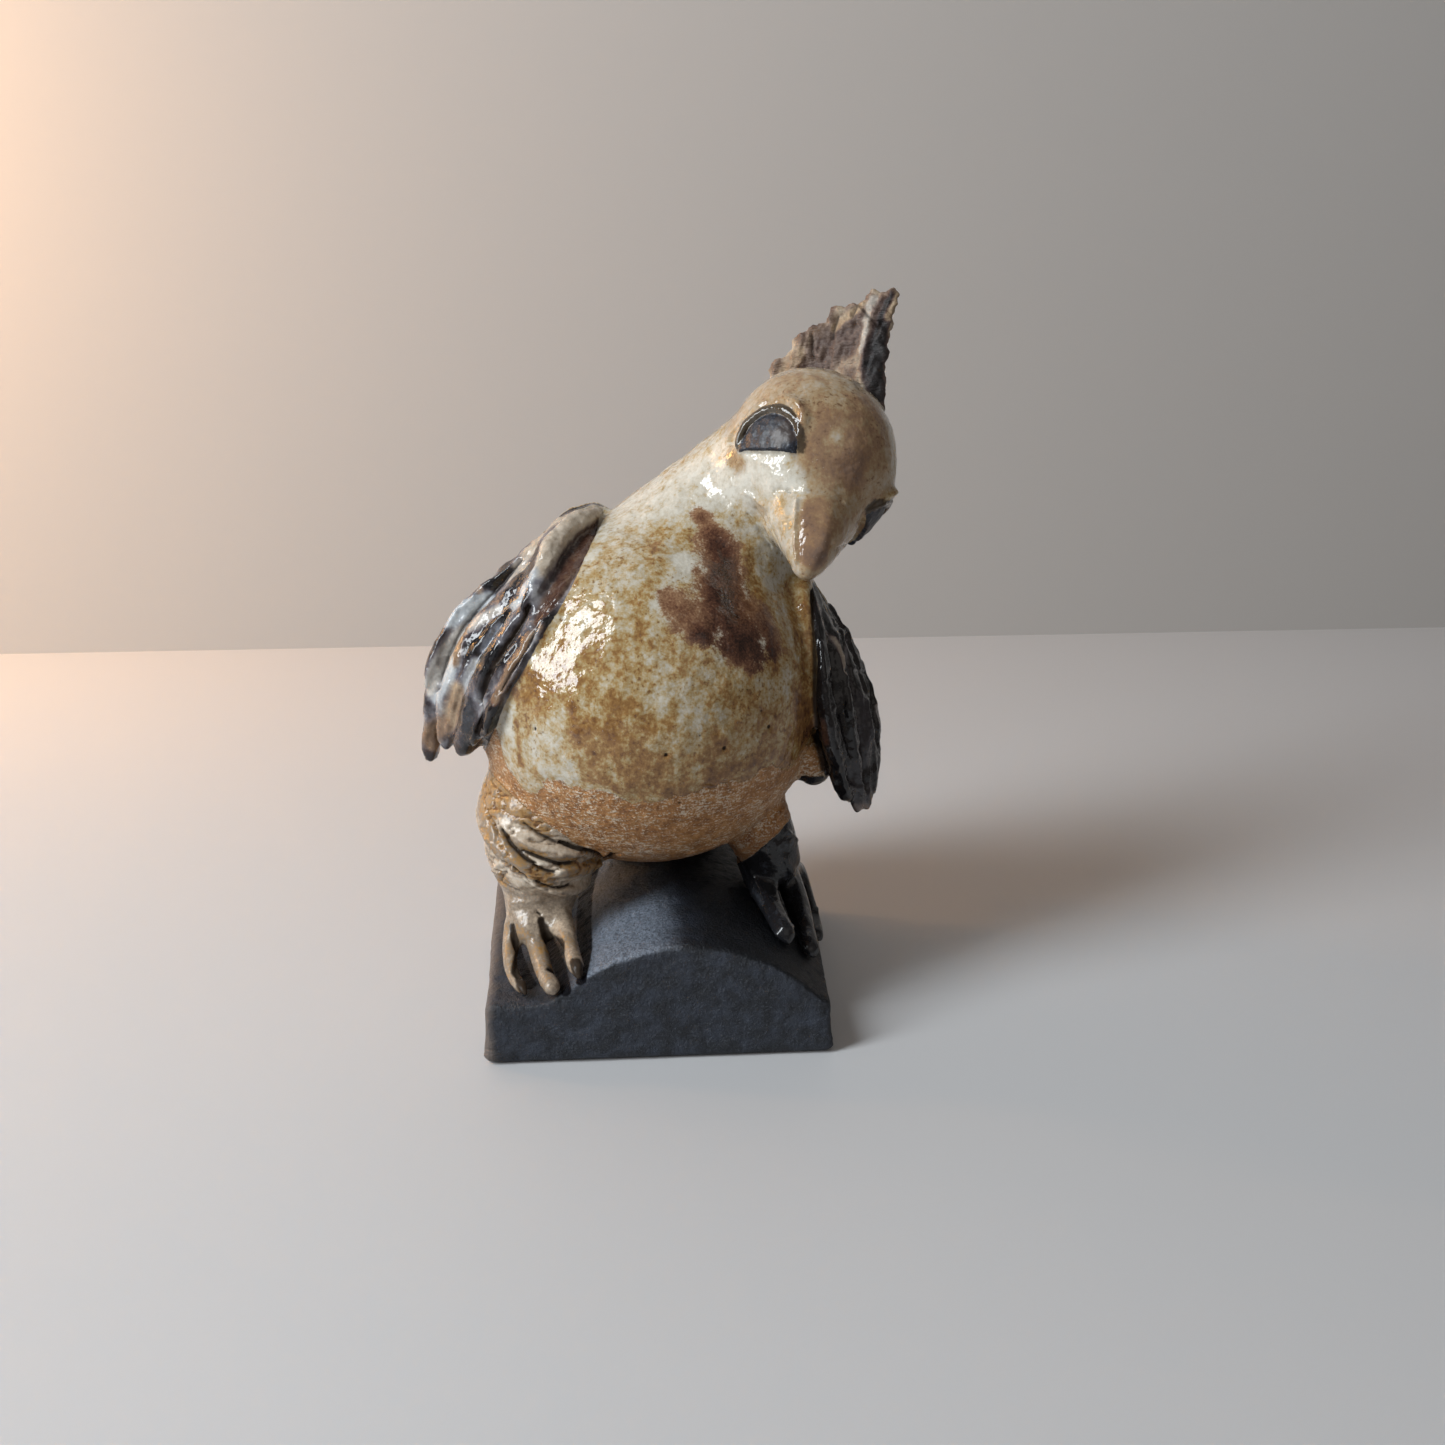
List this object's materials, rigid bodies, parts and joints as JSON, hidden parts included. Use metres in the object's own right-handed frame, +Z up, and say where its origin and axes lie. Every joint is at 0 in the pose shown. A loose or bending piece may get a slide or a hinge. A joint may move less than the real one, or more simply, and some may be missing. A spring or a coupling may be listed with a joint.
{
  "type": "bird sculpture",
  "caption": "Glazed stoneware bird with a ragged crest, perched on a half-round block with its head turned down to one side, a standing ornament.",
  "frame": {"origin": "middle of the block's flat underside", "axes": "+Z up, -Y towards the bird's breast and the block's front face, +X to the right as seen from the front"},
  "size_m": [0.1317, 0.1163, 0.1922],
  "materials": {
    "bird": "mottled cream, ochre and red-brown gloss glaze over bare brown stoneware, with black oxide on wings, eyes and one leg",
    "base": "matt to satin black stoneware with a fine sparkle"
  },
  "bodies": {
    "root": {"bird": "bird", "base": "base"}
  },
  "joints": []
}
